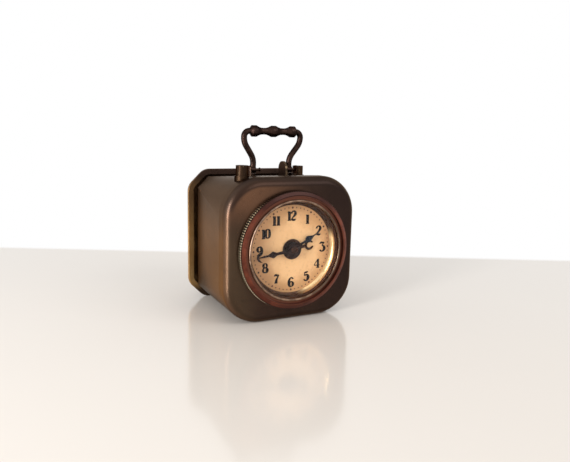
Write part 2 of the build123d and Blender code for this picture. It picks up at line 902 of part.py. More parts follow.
def make_regulator():
    ring = Circle(1.9) - Circle(1.0)
    pointer = Rot(0, 0, 200) * Pos(3.6, 0) * Polygon((-2.0, -0.45), (2.6, -0.15), (2.6, 0.15),
                                                     (-2.0, 0.45), align=None)
    sketch = at(balance_at) * (ring + pointer)
    level = back_outer + cock_rise + cock_thickness
    return slab(sketch, level + 0.02, level + 0.45)


def main_wheel(place, phase, level, module, teeth):
    wheel = crossed(gear(teeth, module, phase), teeth * module / 2 - 2.2, ratchet_radius + 1.2, 4)
    wheel += Rot(0, 0, click_turn()) * Pos(click_pivot(), 0) * Circle(1.3)
    bore = winding_radius + running_clearance
    return slab(at(place) * (wheel - Circle(bore)), level, level + main_thickness)


def click_turn():
    return 45.0


def click_pivot():
    return ratchet_radius + 2.4


def make_going_main_wheel():
    part = main_wheel(main_at, main_direction + 180, main_level, main_module, main_teeth)
    return part + click_stud(main_at, main_level + main_thickness, main_ratchet_level
                             + main_thickness)


def make_alarm_main_wheel():
    part = main_wheel(strike_at, strike_wheel_direction, strike_level, strike_module,
                      strike_teeth)
    return part + click_stud(strike_at, strike_ratchet_level, strike_level)


def click_stud(place, front, back):
    spot = toward(place, click_pivot(), click_turn())
    return disc(spot, pivot_radius, front, back)


def make_click(place, level):
    # A pawl that turns on a stud of the main wheel, its beak in the ratchet's teeth
    spot = toward(place, click_pivot(), click_turn())
    beak_angle = click_turn() - 45
    beak = toward((0, 0), ratchet_radius + 0.25, beak_angle)
    hold = (spot[0] - place[0], spot[1] - place[1])
    span = math.hypot(hold[0] - beak[0], hold[1] - beak[1])
    turn = math.degrees(math.atan2(hold[1] - beak[1], hold[0] - beak[0]))
    bar = Polygon((0, -0.1), (0.9, -0.55), (span, -0.8), (span, 0.8), (0.9, 0.5), align=None)
    sketch = Pos(*beak) * Rot(0, 0, turn) * bar + Pos(*hold) * Circle(0.95)
    sketch -= Pos(*hold) * Circle(pivot_radius + running_clearance)
    return slab(at(place) * sketch, level, level + main_thickness - 0.1)


def make_winding_arbor(place):
    part = disc(place, winding_radius, front_inner + 0.1, knob_front + key_length - 1.0)
    part += disc(place, 2 * pivot_radius, front_plate_depth, front_inner + 0.1)
    return part


def make_ratchet(place, level):
    phase = click_turn() - 45
    wheel = saw_wheel(ratchet_teeth, ratchet_radius, ratchet_root, phase)
    return slab(at(place) * (wheel - Circle(winding_radius)), level, level + main_thickness - 0.1)


def make_key(place):
    boss = disc(place, key_boss_radius, knob_front, knob_front + key_length)
    boss -= disc(place, winding_radius, knob_front - 1, knob_front + key_length - 1.0)
    wing_depth = knob_front + key_length * 0.62
    wings = None
    for side in (-1, 1):
        centre = Pos(place[0] + side * key_wing * 0.72, wing_depth, dial_height + place[1])
        lobe = centre * Rot(90, 0, 0) * Rot(90, 0, 0) * Cylinder(key_length * 0.42, key_thickness)
        wings = lobe if wings is None else wings + lobe
    wings -= disc(place, winding_radius, knob_front - 1, knob_front + key_length - 1.0)
    return boss + wings


def make_mainspring(place, level):
    sketch = at(place) * spiral(spring_inner, spring_outer, spring_turns, spring_thickness)
    return slab(sketch, level, level + spring_width)


def make_set_arbor(place, pinion, front, back):
    part = disc(place, arbor_radius, front_plate_depth - 1.2, knob_front + knob_height - 0.8)
    part += slab(at(place) * pinion, front, back)
    part += disc(place, arbor_radius, min(front, front_plate_depth - 1.2), front_plate_depth)
    return part


def make_knob(place, phase=0.0):
    step = 360 / knob_teeth
    points = []
    for tooth in range(knob_teeth):
        points.append(polar(knob_radius - 0.3, tooth * step))
        points.append(polar(knob_radius, (tooth + 0.5) * step))
    knob = slab(at(place) * Polygon(*points, align=None), knob_front + 0.8,
                knob_front + knob_height)
    knob += disc(place, winding_radius, knob_front - 0.4, knob_front + 0.8)
    return knob - disc(place, arbor_radius, knob_front - 1, knob_front + knob_height - 0.8)


def make_alarm_escape_wheel():
    wheel = saw_wheel(strike_wheel_teeth, strike_wheel_radius, strike_wheel_root,
                      hammer_direction + 15)
    pinion = gear(strike_pinion, strike_module,
                  mesh_phase(strike_wheel_direction, strike_pinion))
    return geared_arbor(strike_wheel_at, wheel, strike_wheel_level, pinion, strike_level - 0.4,
                        strike_level + main_thickness + 0.4, radius=0.6)


def hammer_arm_direction():
    # At the end of its swing the head stops just short of the bell's lower wall
    lowest = bell_lip_width + strike_gap + hammer_head_radius
    fall = hammer_at[1] + dial_height - lowest
    return hammer_swing - math.degrees(math.asin(fall / hammer_arm))


def make_hammer():
    # Pallets over the alarm escape wheel, an arbor to the back and the arm with its head
    part = disc(hammer_at, arbor_radius, front_inner + 0.1, bell_front + 1.2)
    part += disc(hammer_at, pivot_radius, front_plate_depth, front_inner + 0.1)
    anchor = Circle(hammer_arm_width)
    reach = strike_wheel_radius + pallet_bar / 2 + hammer_pallet_gap
    for side in (-1, 1):
        tip = toward(strike_wheel_at, reach, hammer_direction + side * hammer_pallet_spread)
        end = (tip[0] - hammer_at[0], tip[1] - hammer_at[1])
        span = math.hypot(*end)
        turn = math.degrees(math.atan2(end[1], end[0]))
        anchor += Rot(0, 0, turn) * Pos(span / 2, 0) * Rectangle(span, pallet_bar)
        anchor += Pos(*end) * Circle(pallet_bar / 2)
    part += slab(at(hammer_at) * anchor, strike_wheel_level, strike_wheel_level + wheel_thickness)
    arm_depth = bell_front + 0.2
    arm = Pos(hammer_arm / 2, 0) * Rectangle(hammer_arm, hammer_arm_width)
    arm = Rot(0, 0, hammer_arm_direction()) * arm + Circle(hammer_arm_width)
    part += slab(at(hammer_at) * arm, arm_depth, arm_depth + wheel_thickness)
    head = toward(hammer_at, hammer_arm, hammer_arm_direction())
    return part + disc(head, hammer_head_radius, arm_depth, arm_depth + hammer_head_length)


def hinge_at(side, x):
    return Pos(side * x, handle_depth, handle_pin_height)


def make_bracket(side, outer):
    # A round lug with a domed top, cut away inside the cheek that carries the hinge pin
    across = 4 * bracket_radius
    lug = Pos(side * bracket_x, handle_depth, top_height(handle_depth) - 1) * Cylinder(
        bracket_radius, across, align=(Align.CENTER, Align.CENTER, Align.MIN))
    crown = hinge_at(side, bracket_x) * Rot(0, 90, 0) * Cylinder(bracket_radius, across)
    below = hinge_at(side, bracket_x) * Box(across, across, across,
                                            align=(Align.CENTER, Align.CENTER, Align.MAX))
    lug = lug & (crown + below)
    cheek_inner = bracket_x + bracket_radius - cheek_thickness
    room_floor = handle_pin_height - eye_radius - foot_clearance
    room = Box(across, across, across, align=(Align.CENTER, Align.CENTER, Align.MIN))
    lug -= Pos(side * (cheek_inner - across / 2), handle_depth, room_floor) * room
    lug -= hinge_at(side, bracket_x) * Rot(0, 90, 0) * Cylinder(pin_radius, across)
    lug -= outer
    tenon = Cylinder(tenon_radius, tenon_length + 0.4, align=(Align.CENTER, Align.CENTER, Align.MIN))
    return lug + Pos(side * bracket_x, handle_depth, top_height(handle_depth) - tenon_length) * tenon


def make_hinge_pins():
    # Each pin runs inwards from its lug and ends in a small head that keeps the bail on
    group = []
    outer_end = bracket_x + bracket_radius
    for side in (-1, 1):
        shank = hinge_at(side, (outer_end + pin_inner) / 2) * Rot(0, 90, 0)
        head = hinge_at(side, pin_inner - pin_head / 2) * Rot(0, 90, 0)
        group.append(shank * Cylinder(pin_radius, outer_end - pin_inner)
                     + head * Cylinder(pin_head_radius, pin_head))
    return Compound(children=group)


def make_handle_bail():
    # The legs are a little uneven, and the bail is pushed to the left on its pins
    corners = [(x, handle_depth, handle_pin_height + rise) for x, rise in right_leg + left_leg]
    bends = [shoulder_bend, hip_bend, corner_bend, corner_bend, hip_bend, shoulder_bend]
    route = FilletPolyline(*corners, radius=bends)
    wire = sweep(Plane(origin=corners[0], z_dir=route % 0) * Circle(wire_radius), path=route)
    for corner in (corners[0], corners[-1]):
        wire += Pos(*corner) * Rot(0, 90, 0) * Cylinder(eye_radius, eye_length)
        wire -= Pos(*corner) * Rot(0, 90, 0) * Cylinder(pin_radius + running_clearance,
                                                        2 * eye_length)
    return wire


def make_handle_grip():
    half = [(0.0, bulb_radius), (bulb_flat, bulb_radius), (2.2, 1.85), (3.3, 1.48),
            (4.6, waist_radius), (5.9, 1.48), (7.0, 1.85), (8.1, bulb_radius),
            (8.1 + 2 * bulb_flat, bulb_radius), (grip_half, 1.45)]
    profile = [(-x, r) for x, r in reversed(half[1:])] + half
    profile = [(-grip_half, wire_radius)] + profile + [(grip_half, wire_radius)]
    face = make_face(Plane.XZ * Polyline(profile, close=True))
    grip = revolve(face, Axis.X)
    return Pos(0, handle_depth, handle_pin_height + grip_rise) * grip


def make_post(spot, outer):
    x, depth = spot
    base = top_height(depth)
    post = Cylinder(post_radius, 2 * post_height) + Pos(0, 0, -post_height / 2) * Cylinder(
        washer_radius, post_height + 2 * washer_thickness)
    post = Pos(x, depth, base) * post
    post -= outer
    top_cut = Pos(x, depth, base + post_height) * Box(9, 9, 9, align=(Align.CENTER, Align.CENTER,
                                                                     Align.MIN))
    post -= top_cut
    tenon = Pos(x, depth, base - tenon_length)
    post += tenon * Cylinder(tenon_radius, tenon_length + 0.4,
                             align=(Align.CENTER, Align.CENTER, Align.MIN))
    return post


def make_alarm_stop_lever():
    half = paddle_width / 2
    tongue_base = top_height(handle_depth) - 2.0
    tongue = Pos(0, (tongue_base + paddle_top - half) / 2) * Rectangle(
        paddle_width, paddle_top - half - tongue_base)
    tongue += Pos(0, paddle_top - half) * Circle(half)
    neck = Pos(0, (paddle_pivot_height + tongue_base) / 2) * Rectangle(
        paddle_neck, tongue_base - paddle_pivot_height + 0.1)
    eye = Pos(0, paddle_pivot_height) * Circle(paddle_neck / 2)
    sketch = tongue + neck + eye - Pos(0, paddle_pivot_height) * Circle(paddle_pivot_radius)
    plate = extrude(Plane.YZ * sketch, amount=paddle_thickness / 2, both=True)
    return Pos(paddle_x, handle_depth, 0) * plate


def build_parts():
    outer = case_shell(0)
    parts = {
        "case_body": make_case_body(outer),
        "back_cover": make_back_cover(),
        "bell": make_bell(),
        "bell_stud": make_bell_stud(),
        "bell_nut": make_bell_nut(),
        "bezel_ring": make_bezel_ring(),
        "sight_ring": make_sight_ring(),
        "glass_crystal": make_glass(),
        "dial_ring": make_dial_ring(),
        "dial_plate": make_dial_plate(),
        "minute_hand": make_minute_hand(),
        "hour_hand": make_hour_hand(),
        "alarm_hand": make_alarm_hand(),
        "hand_cap": make_hand_cap(),
        "cannon_pinion": make_cannon_pinion(),
        "minute_wheel": make_minute_wheel(),
        "hour_wheel": make_hour_wheel(),
        "alarm_wheel": make_alarm_wheel(),
        "front_plate": make_front_plate(),
        "back_plate": make_back_plate(),
        "plate_pillars": make_plate_pillars(),
        "pillar_nuts": make_pillar_nuts(),
        "movement_feet": make_movement_feet(),
        "movement_screws": make_movement_screws(),
        "centre_wheel": make_centre_wheel(),
        "third_wheel": make_third_wheel(),
        "fourth_wheel": make_fourth_wheel(),
        "escape_wheel": make_escape_wheel(),
        "pallet_lever": make_pallet_lever(),
        "balance_wheel": make_balance_wheel(),
        "hairspring": make_hairspring(),
        "balance_cock": make_balance_cock(),
        "regulator_index": make_regulator(),
        "going_main_wheel": make_going_main_wheel(),
        "alarm_main_wheel": make_alarm_main_wheel(),
        "going_click": make_click(main_at, main_ratchet_level),
        "alarm_click": make_click(strike_at, strike_ratchet_level),
        "going_arbor": make_winding_arbor(main_at),
        "alarm_arbor": make_winding_arbor(strike_at),
        "going_ratchet": make_ratchet(main_at, main_ratchet_level),
        "alarm_ratchet": make_ratchet(strike_at, strike_ratchet_level),
        "going_key": make_key(main_at),
        "alarm_key": make_key(strike_at),
        "going_mainspring": make_mainspring(main_at, main_spring_level),
        "alarm_mainspring": make_mainspring(strike_at, strike_spring_level),
        "time_set_arbor": make_set_arbor(
            setting_at, gear(set_teeth, motion_module,
                             setting_direction + 180), cannon_level,
            cannon_level + wheel_thickness + 0.1),
        "time_set_knob": make_knob(setting_at),
        "alarm_set_arbor": make_set_arbor(
            alarm_set_at, gear(alarm_set_teeth, alarm_module,
                               mesh_phase(alarm_set_direction, alarm_set_teeth)),
            alarm_level - 0.2, alarm_level + wheel_thickness + 0.2),
        "alarm_set_knob": make_knob(alarm_set_at),
        "alarm_escape_wheel": make_alarm_escape_wheel(),
        "alarm_hammer": make_hammer(),
        "handle_bracket_left": make_bracket(-1, outer),
        "handle_bracket_right": make_bracket(1, outer),
        "hinge_pins": make_hinge_pins(),
        "handle_bail": make_handle_bail(),
        "handle_grip": make_handle_grip(),
        "alarm_stop_lever": make_alarm_stop_lever(),
    }
    for name, spot in post_spots().items():
        parts[name] = make_post(spot, outer)
    return parts


os.makedirs("parts", exist_ok=True)
origin_shift = -(pillow_radius + rest_land / 2)
for name, solid in build_parts().items():
    export_step(Pos(0, origin_shift, 0) * solid, "parts/" + name + ".step")
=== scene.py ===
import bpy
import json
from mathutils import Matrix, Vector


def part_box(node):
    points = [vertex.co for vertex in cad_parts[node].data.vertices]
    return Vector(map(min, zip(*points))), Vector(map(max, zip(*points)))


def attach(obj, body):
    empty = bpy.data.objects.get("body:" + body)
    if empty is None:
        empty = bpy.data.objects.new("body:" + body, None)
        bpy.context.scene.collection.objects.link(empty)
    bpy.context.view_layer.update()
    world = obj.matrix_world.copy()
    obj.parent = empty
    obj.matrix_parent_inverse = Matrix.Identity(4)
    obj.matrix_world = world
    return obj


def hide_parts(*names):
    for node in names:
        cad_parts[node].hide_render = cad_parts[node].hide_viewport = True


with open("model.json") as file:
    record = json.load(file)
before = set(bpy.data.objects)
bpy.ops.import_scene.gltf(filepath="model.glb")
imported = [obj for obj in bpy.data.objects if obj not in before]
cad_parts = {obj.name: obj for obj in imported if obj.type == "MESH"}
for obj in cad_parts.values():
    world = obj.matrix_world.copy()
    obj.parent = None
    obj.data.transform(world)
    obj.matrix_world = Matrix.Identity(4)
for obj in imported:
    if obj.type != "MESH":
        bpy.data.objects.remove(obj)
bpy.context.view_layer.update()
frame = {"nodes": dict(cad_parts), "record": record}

import json
import math

import bmesh
import bpy
from mathutils import Matrix, Vector

# Small brass table alarm clock. Metres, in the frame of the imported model: +X right as seen
# from the front, +Y towards the back, +Z up, with the floor at zero height.
MM = 0.001

# Where the camera stood, from the dial's dots and the outlines of the case
camera_place = Vector((-106.86, -203.46, 77.35)) * MM
camera_yaw = math.radians(27.42)
camera_pitch = math.radians(-9.98)
camera_roll = math.radians(1.35)
image_width = 570
focal_pixels = 556.7
sensor_width = 36.0
camera_reach = (10 * MM, 100)

# Lamps: place, width and height, and watts
lamp_target = Vector((0, 0, 30)) * MM
lamps = {
    "window": ((-0.52, -0.205, 0.15), (0.13, 0.3), 2.6),
    "front": ((0.35, -0.6, 0.5), (0.6, 0.4), 1.6),
}
room_tint = (1, 0.985, 0.965, 1)
room_strength = 0.55

# Table top. It turns white where a wall would stand, so far ahead of the camera.
floor_size = 3.0
wall_distance = 0.353
wall_softness = 0.004

# Printing on the dial
dial_low, dial_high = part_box("dial_plate")
dial_front = dial_low.y
dial_centre = Vector((0, dial_front, (dial_low.z + dial_high.z) / 2))
numeral_ring = 14.2 * MM
numeral_height = 4.0 * MM
numeral_width = 4.5 * MM
ink_relief = 0.24 * MM
dot_ring = 17.34 * MM
hour_dot = 0.42 * MM
minute_dot = 0.25 * MM
dot_height = 0.06 * MM
dot_sides = 12

# Dial glass
glass_sides = 96
glass_play = 0.03 * MM
glass_bevel = 0.12 * MM
glass_index = 1.22

# Finishes. The dark edge keeps patina dark where it is seen along its surface.
white = (1, 1, 1, 1)
dark_edge = (0.34, 0.27, 0.23, 1)
lacquer_roughness = 0.18
rim_radius = 30 * MM
lip_depth = 1.7 * MM

# Strokes of the numerals: a run is straight, a bend is curved and a loop is closed. Each
# point is (across, up, half width), in shares of the numeral's height.
STEM = 0.088
HAIR = 0.036
boldness = 1.6
six_width = 0.54
usual_step = 0.56
narrow_steps = {"1": 0.40}
numeral_strokes = {
    "0": [("loop", (0.27, 0.97, HAIR), (0.10, 0.86, 0.07), (0.07, 0.5, STEM),
           (0.10, 0.14, 0.07), (0.27, 0.03, HAIR), (0.44, 0.14, 0.07), (0.47, 0.5, STEM),
           (0.44, 0.86, 0.07))],
    "1": [("run", (0.26, 0.04, STEM), (0.26, 0.94, STEM)),
          ("run", (0.24, 0.93, 0.05), (0.08, 0.84, HAIR)),
          ("run", (0.08, 0.03, HAIR), (0.44, 0.03, HAIR))],
    "2": [("bend", (0.10, 0.72, 0.075), (0.08, 0.84, 0.05), (0.22, 0.98, HAIR),
           (0.44, 0.94, 0.07), (0.50, 0.68, 0.10), (0.32, 0.42, 0.06), (0.12, 0.22, HAIR),
           (0.07, 0.06, HAIR)),
          ("bend", (0.07, 0.06, 0.05), (0.22, 0.10, 0.075), (0.40, 0.02, 0.075),
           (0.50, 0.16, HAIR))],
    "3": [("bend", (0.06, 0.78, HAIR), (0.07, 0.90, 0.05), (0.24, 0.96, 0.07),
           (0.40, 0.90, 0.06), (0.54, 0.96, HAIR)),
          ("run", (0.54, 0.95, HAIR), (0.28, 0.62, HAIR)),
          ("bend", (0.28, 0.60, HAIR), (0.48, 0.60, 0.06), (0.58, 0.28, 0.11),
           (0.44, 0.00, 0.06), (0.14, 0.01, HAIR), (0.08, 0.17, 0.07))],
    "4": [("run", (0.38, 0.97, 0.028), (-0.02, 0.31, 0.028)),
          ("run", (-0.02, 0.29, 0.032), (0.60, 0.29, 0.032)),
          ("run", (0.40, 0.97, 0.075), (0.40, 0.04, 0.075)),
          ("run", (0.24, 0.03, HAIR), (0.56, 0.03, HAIR))],
    "5": [("run", (0.13, 0.94, HAIR), (0.10, 0.54, HAIR)),
          ("bend", (0.13, 0.90, 0.06), (0.30, 0.86, 0.06), (0.46, 0.97, 0.05)),
          ("bend", (0.10, 0.54, HAIR), (0.26, 0.66, 0.05), (0.48, 0.58, 0.08),
           (0.52, 0.26, 0.11), (0.38, 0.00, 0.06), (0.13, 0.00, HAIR), (0.08, 0.16, 0.07))],
    "6": [("bend", (0.43, 0.82, 0.07), (0.40, 0.97, 0.045), (0.20, 1.00, HAIR),
           (0.05, 0.70, 0.09), (0.05, 0.30, 0.10), (0.14, 0.02, 0.06), (0.28, 0.02, HAIR)),
          ("loop", (0.28, 0.57, HAIR), (0.13, 0.46, 0.05), (0.11, 0.28, 0.07),
           (0.16, 0.07, 0.05), (0.29, 0.03, HAIR), (0.43, 0.10, 0.07), (0.48, 0.30, 0.095),
           (0.41, 0.50, 0.06))],
    "7": [("bend", (0.05, 0.82, HAIR), (0.08, 0.92, 0.06), (0.24, 0.96, 0.08),
           (0.38, 0.88, 0.06), (0.51, 0.95, HAIR)),
          ("bend", (0.51, 0.95, HAIR), (0.34, 0.62, 0.05), (0.24, 0.34, 0.09),
           (0.23, 0.05, 0.10))],
    "8": [("loop", (0.27, 0.97, HAIR), (0.11, 0.92, 0.07), (0.09, 0.76, 0.085),
           (0.13, 0.58, 0.07), (0.27, 0.54, HAIR), (0.41, 0.58, 0.05), (0.44, 0.76, 0.07),
           (0.42, 0.92, 0.05)),
          ("loop", (0.27, 0.54, HAIR), (0.10, 0.48, 0.05), (0.05, 0.28, 0.075),
           (0.10, 0.07, 0.06), (0.27, 0.03, HAIR), (0.44, 0.07, 0.08), (0.49, 0.28, 0.10),
           (0.44, 0.48, 0.07))],
}

# How far each numeral was printed from its even place, across and up, in millimetres
printed_off = {2: (0.35, 0), 3: (0.6, 0), 5: (0.3, 0.1), 7: (0.35, 0), 8: (0.35, 0),
               9: (-0.4, 0), 10: (0.5, 0), 11: (-0.25, 0), 12: (-0.2, -0.2)}


def new_object(name, bm, finish):
    mesh = bpy.data.meshes.new(name)
    bm.to_mesh(mesh)
    bm.free()
    mesh.materials.append(finish)
    piece = bpy.data.objects.new(name, mesh)
    bpy.context.scene.collection.objects.link(piece)
    return piece


def on_dial(angle, radius):
    # A place on the dial, with the angle clockwise from twelve
    return dial_centre + Vector((radius * math.sin(angle), 0, radius * math.cos(angle)))


def facing_front(place):
    # Turns a shape that was made upwards, along Z, to the front of the clock
    return Matrix.Translation(place) @ Matrix.Rotation(math.pi / 2, 4, "X")


def digit_strokes(digit):
    # A nine is a six turned upside down
    if digit != "9":
        return numeral_strokes[digit]
    turned = []
    for kind, *points in numeral_strokes["6"]:
        turned.append((kind, *[(six_width - x, 1.0 - y, r) for x, y, r in points]))
    return turned


def numeral_mesh(text):
    # One printed numeral, standing at the origin and centred, a unit high
    curve = bpy.data.curves.new("numeral", "CURVE")
    curve.dimensions = "3D"
    curve.bevel_depth = 1.0
    curve.bevel_resolution = 1
    curve.use_fill_caps = True
    start = 0.0
    for digit in text:
        for kind, *points in digit_strokes(digit):
            spline = curve.splines.new("POLY" if kind == "run" else "NURBS")
            spline.points.add(len(points) - 1)
            for point, (x, y, r) in zip(spline.points, points):
                point.co = (start + x, y, 0, 1)
                point.radius = r * boldness
            if kind != "run":
                spline.order_u = 3
                spline.use_cyclic_u = kind == "loop"
                spline.use_endpoint_u = kind == "bend"
        start += narrow_steps.get(digit, usual_step)
    holder = bpy.data.objects.new("numeral", curve)
    bpy.context.scene.collection.objects.link(holder)
    mesh = bpy.data.meshes.new_from_object(holder)
    bpy.data.objects.remove(holder)
    reach = [vertex.co.x for vertex in mesh.vertices]
    mesh.transform(Matrix.Translation((-(min(reach) + max(reach)) / 2, -0.5, 0)))
    return mesh


def dial_numerals(finish):
    bm = bmesh.new()
    size = Matrix.Diagonal((numeral_width, numeral_height, ink_relief, 1))
    for hour in range(1, 13):
        mesh = numeral_mesh(str(hour))
        across, up = printed_off.get(hour, (0, 0))
        place = on_dial(math.radians(30 * hour), numeral_ring) + Vector((across, 0, up)) * MM
        mesh.transform(facing_front(place) @ size)
        bm.from_mesh(mesh)
        bpy.data.meshes.remove(mesh)
    numerals = new_object("dial_numerals", bm, finish)
    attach(numerals, "case")


def dial_dots(finish):
    bm = bmesh.new()
    for minute in range(60):
        radius = minute_dot if minute % 5 else hour_dot
        place = on_dial(math.radians(6 * minute), dot_ring)
        bmesh.ops.create_cone(bm, cap_ends=True, segments=dot_sides, radius1=radius,
                              radius2=radius, depth=dot_height, matrix=facing_front(place))
    dots = new_object("dial_dots", bm, finish)
    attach(dots, "case")


def dial_glass(finish):
    # A ground and polished disc, a hair smaller than its seat
    low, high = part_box("glass_crystal")
    radius = (high.x - low.x) / 2 - glass_play
    bm = bmesh.new()
    bmesh.ops.create_cone(bm, cap_ends=True, segments=glass_sides, radius1=radius,
                          radius2=radius, depth=high.y - low.y - 2 * glass_play,
                          matrix=facing_front((low + high) / 2))
    flats = [face for face in bm.faces if len(face.verts) == glass_sides]
    rims = [edge for face in flats for edge in face.edges]
    bmesh.ops.bevel(bm, geom=rims, offset=glass_bevel, offset_type="OFFSET", segments=2,
                    profile=0.5, affect="EDGES", material=-1)
    bmesh.ops.recalc_face_normals(bm, faces=bm.faces)
    glass = new_object("dial_glass", bm, finish)
    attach(glass, "case")
    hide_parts("glass_crystal")


def colour(red, green, blue):
    # A colour as it is seen, from 0 to 255
    def linear(level):
        level /= 255
        return level / 12.92 if level <= 0.04045 else ((level + 0.055) / 1.055) ** 2.4
    return (linear(red), linear(green), linear(blue), 1.0)


class Wiring:
    """Nodes of a finish or of the room, wired one after another."""

    def __init__(self, tree):
        self.tree = tree

    def node(self, kind, **settings):
        node = self.tree.nodes.new(kind)
        for name, value in settings.items():
            setattr(node, name, value)
        return node

    def feed(self, socket, value):
        if isinstance(value, bpy.types.NodeSocket):
            self.tree.links.new(value, socket)
        else:
            socket.default_value = value

    def calculate(self, operation, *values):
        node = self.node("ShaderNodeMath", operation=operation)
        for socket, value in zip(node.inputs, values):
            self.feed(socket, value)
        return node.outputs["Value"]

    def times(self, value, *others):
        for other in others:
            value = self.calculate("MULTIPLY", value, other)
        return value

    def larger(self, value, *others):
        for other in others:
            value = self.calculate("MAXIMUM", value, other)
        return value

    def sees_white(self):
        # The rays that find white surroundings: from the camera, from gloss and through glass
        path = self.node("ShaderNodeLightPath")
        return self.larger(path.outputs["Is Camera Ray"], path.outputs["Is Glossy Ray"],
                           path.outputs["Is Transmission Ray"])

    def join(self, share, first, second, output):
        # Two shaders, mixed into the output
        mix = self.node("ShaderNodeMixShader")
        self.feed(mix.inputs[0], share)
        self.feed(mix.inputs[1], first.outputs[0])
        self.feed(mix.inputs[2], second.outputs[0])
        self.feed(self.tree.nodes[output].inputs["Surface"], mix.outputs[0])


class Finish(Wiring):
    """A material. Its patterns follow the place of each point on the clock."""

    def __init__(self, name):
        self.material = bpy.data.materials.new(name)
        self.material.use_nodes = True
        super().__init__(self.material.node_tree)
        self.shader = self.tree.nodes["Principled BSDF"]
        self.coordinates = self.node("ShaderNodeTexCoord").outputs

    def set(self, **values):
        for name, value in values.items():
            self.feed(self.shader.inputs[name.replace("_", " ")], value)

    def parts(self, vector):
        node = self.node("ShaderNodeSeparateXYZ")
        self.feed(node.inputs[0], vector)
        return node.outputs

    def place(self):
        # How far to the right, back and up a point lies
        return self.parts(self.coordinates["Object"])

    def facing(self):
        # How much a point faces right, back and up
        return self.parts(self.coordinates["Normal"])

    def from_axis(self):
        # Distance of a point from the dial's axis
        across, _, up = self.place()
        up = self.calculate("SUBTRACT", up, dial_centre.z)
        squares = self.calculate("ADD", self.times(across, across), self.times(up, up))
        return self.calculate("SQRT", squares)

    def noise(self, size, detail=4.0, rough=0.55, stretch=(1, 1, 1), seed=0.0, place=None):
        # Cloudy pattern, with the size of its patches in millimetres
        mapping = self.node("ShaderNodeMapping")
        self.feed(mapping.inputs["Vector"], place or self.coordinates["Object"])
        mapping.inputs["Scale"].default_value = stretch
        mapping.inputs["Location"].default_value = (seed, seed * 0.7, seed * 0.3)
        node = self.node("ShaderNodeTexNoise")
        self.feed(node.inputs["Vector"], mapping.outputs["Vector"])
        node.inputs["Scale"].default_value = 1 / (size * MM)
        node.inputs["Detail"].default_value = detail
        node.inputs["Roughness"].default_value = rough
        return node.outputs["Fac"]

    def ramp(self, value, low, high, start=0.0, end=1.0):
        # Smooth change from start to end while the value goes from low to high
        node = self.node("ShaderNodeMapRange", interpolation_type="SMOOTHSTEP")
        for name, number in (("Value", value), ("From Min", low), ("From Max", high),
                             ("To Min", start), ("To Max", end)):
            self.feed(node.inputs[name], number)
        return node.outputs["Result"]

    def zone(self, value, none, full, most=1.0, origin=0.0):
        # A share that grows from none to full between two places, in millimetres
        return self.ramp(value, origin + none * MM, origin + full * MM, 0.0, most)

    def blend(self, share, first, second, kind="MIX"):
        node = self.node("ShaderNodeMix", data_type="RGBA", blend_type=kind)
        self.feed(node.inputs[0], share)
        self.feed(node.inputs[6], first)
        self.feed(node.inputs[7], second)
        return node.outputs[2]

    def patchy(self, pattern, dark, light, spread=0.15):
        return self.blend(self.ramp(pattern, 0.5 - spread, 0.5 + spread), dark, light)

    def layers(self, tone, *coats):
        # Tones laid over one another, each by its share
        for share, coat in coats:
            tone = self.blend(share, tone, coat)
        return tone

    def mottled(self, grain, smooth, rough):
        # Roughness that changes with a fine grain
        return self.ramp(grain, 0.3, 0.7, smooth, rough)

    def lacquer(self, weight):
        self.set(Coat_Weight=weight, Coat_Roughness=lacquer_roughness)

    def bump(self, height, depth):
        # Relief, with its depth in millimetres
        node = self.node("ShaderNodeBump")
        node.inputs["Strength"].default_value = 1.0
        node.inputs["Distance"].default_value = depth * MM
        self.feed(node.inputs["Height"], height)
        self.set(Normal=node.outputs["Normal"])


def aged_metal(name, dark, light, patch, roughness, relief=0.01, worn=None, worn_share=0.62,
               stretch=(1, 1, 1), coat=0.0, edge=white):
    finish = Finish(name)
    cloud = finish.noise(patch, detail=6.0, rough=0.6, stretch=stretch)
    grain = finish.noise(patch / 14, detail=3.0, rough=0.6, seed=2.0)
    tone = finish.patchy(cloud, dark, light)
    if worn:
        spots = finish.noise(patch / 4, detail=5.0, rough=0.65, stretch=stretch, seed=5.0)
        tone = finish.blend(finish.ramp(spots, worn_share, worn_share + 0.12), tone, worn)
    finish.set(Base_Color=tone, Metallic=1.0, Specular_Tint=edge,
               Roughness=finish.ramp(grain, 0.35, 0.65, *roughness))
    finish.lacquer(coat)
    finish.bump(grain, relief)
    return finish.material


